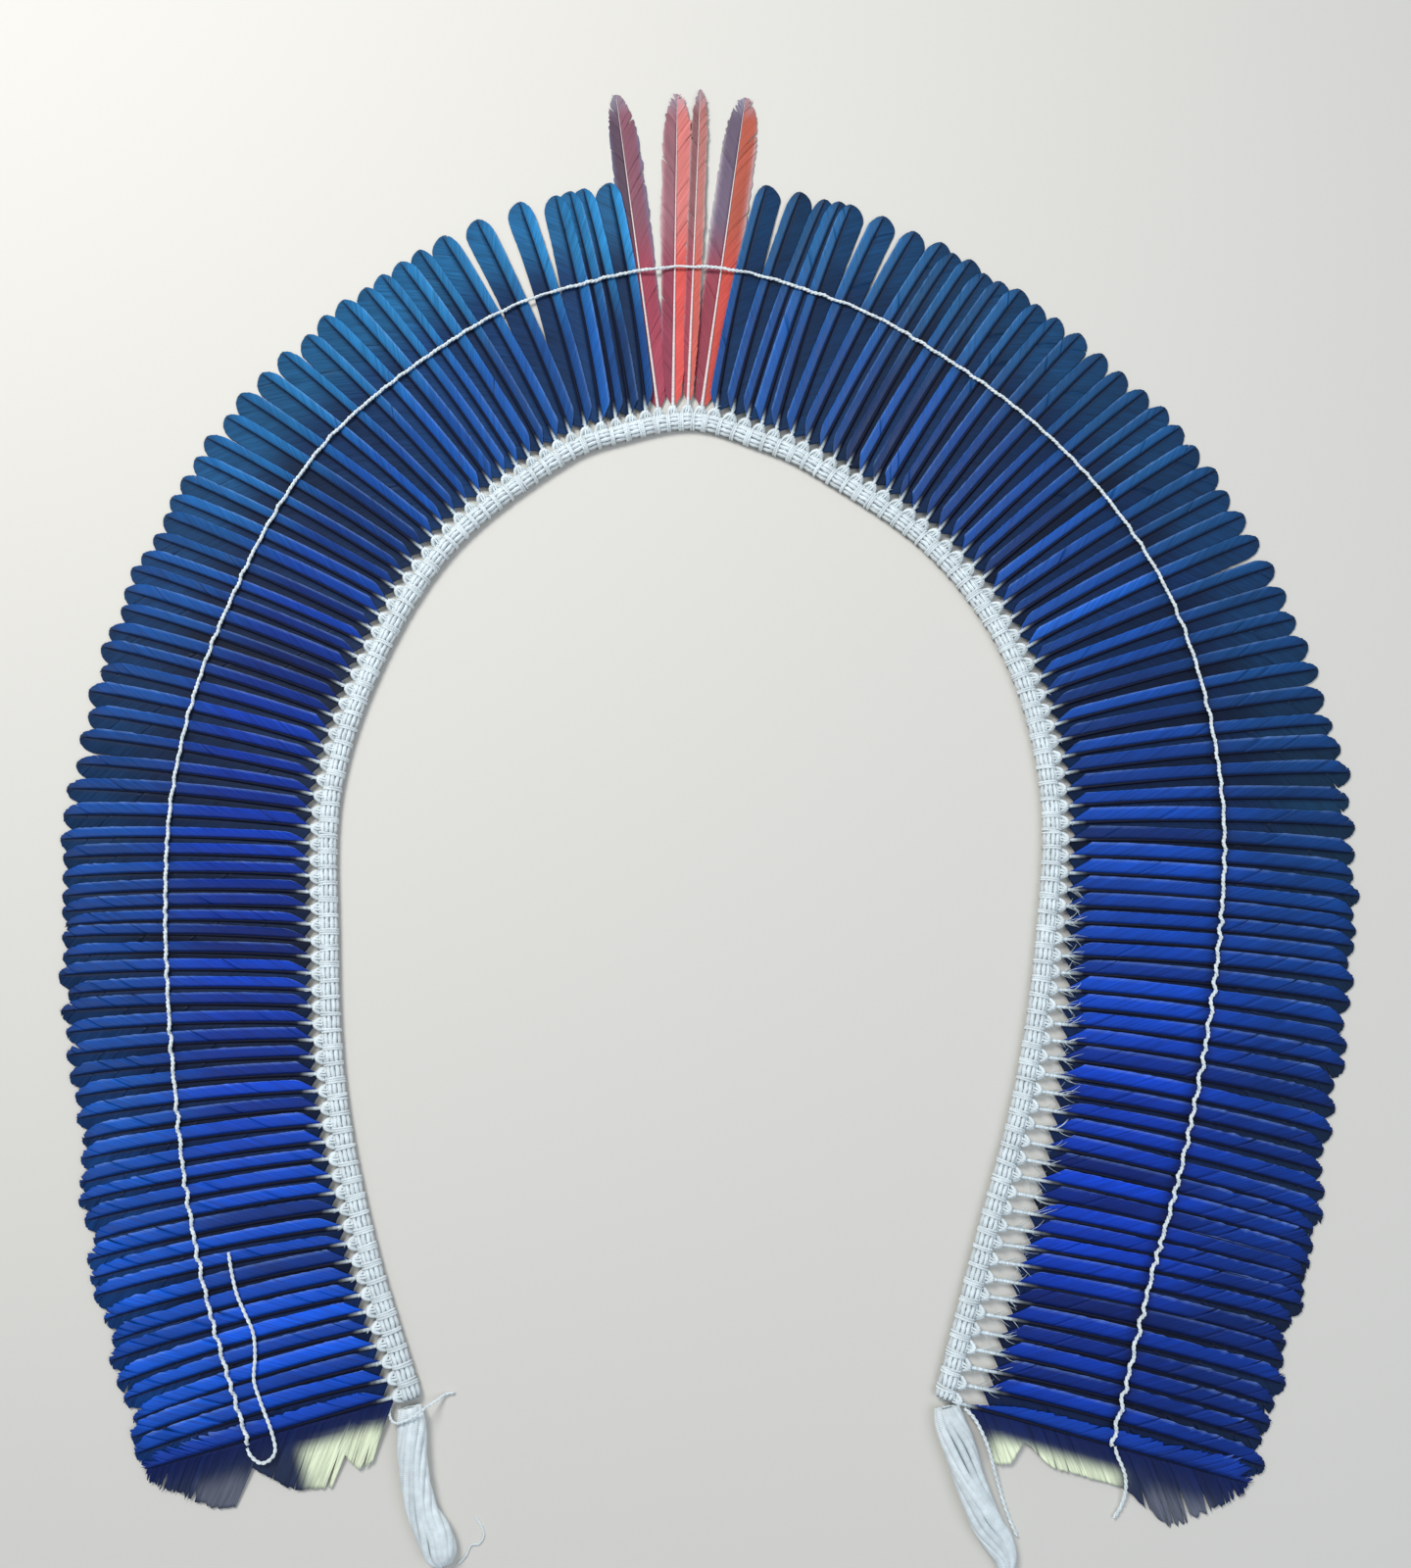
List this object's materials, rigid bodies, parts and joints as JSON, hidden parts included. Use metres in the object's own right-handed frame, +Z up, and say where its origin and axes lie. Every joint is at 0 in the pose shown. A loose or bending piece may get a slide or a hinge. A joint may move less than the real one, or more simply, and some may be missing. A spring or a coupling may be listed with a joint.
{
  "type": "feathered headdress",
  "caption": "Arched headdress of blue flight feathers with long red ones at the crown, tied to a bound cotton band with twisted tie ends.",
  "frame": {"origin": "middle of the lying headdress's box, on the surface it lies on", "axes": "+Z up from the surface, +Y from the open ends of the arch towards its crown, +X towards the right arm seen from above with the crown away"},
  "size_m": [0.8916, 1.0401, 0.0146],
  "materials": {
    "cotton": "matt spun and bound cotton string",
    "blue_feather": "satin blue flight feather, darker towards the tip",
    "end_feather": "dark flight feather with a blue leading vane and cream down",
    "red_feather": "coral and rose tail feather, greyer at the edges"
  },
  "bodies": {
    "root": {"band_core": "cotton", "blue_feathers_left_1": "blue_feather", "blue_feathers_left_2": "blue_feather", "blue_feathers_left_3": "blue_feather", "blue_feathers_left_4": "blue_feather", "blue_feathers_left_5": "blue_feather", "blue_feathers_left_6": "blue_feather", "blue_feathers_left_7": "blue_feather", "blue_feathers_left_8": "blue_feather", "blue_feathers_left_9": "blue_feather", "blue_feathers_left_10": "blue_feather", "blue_feathers_left_11": "blue_feather", "blue_feathers_left_12": "blue_feather", "blue_feathers_left_13": "blue_feather", "blue_feathers_left_14": "blue_feather", "blue_feathers_right_1": "blue_feather", "blue_feathers_right_2": "blue_feather", "blue_feathers_right_3": "blue_feather", "blue_feathers_right_4": "blue_feather", "blue_feathers_right_5": "blue_feather", "blue_feathers_right_6": "blue_feather", "blue_feathers_right_7": "blue_feather", "blue_feathers_right_8": "blue_feather", "blue_feathers_right_9": "blue_feather", "blue_feathers_right_10": "blue_feather", "blue_feathers_right_11": "blue_feather", "blue_feathers_right_12": "blue_feather", "blue_feathers_right_13": "blue_feather", "blue_feathers_right_14": "blue_feather", "end_feather_left": "end_feather", "end_feather_right": "end_feather", "crown_feather_1": "red_feather", "crown_feather_2": "red_feather", "crown_feather_3": "red_feather", "crown_feather_4": "red_feather", "stay_cord": "cotton", "tie_left": "cotton", "tie_right": "cotton", "stay_tail_left": "cotton", "stay_tail_right": "cotton", "band_tail_left": "cotton", "tie_thread_left": "cotton", "side_cord_right": "cotton"}
  },
  "joints": []
}
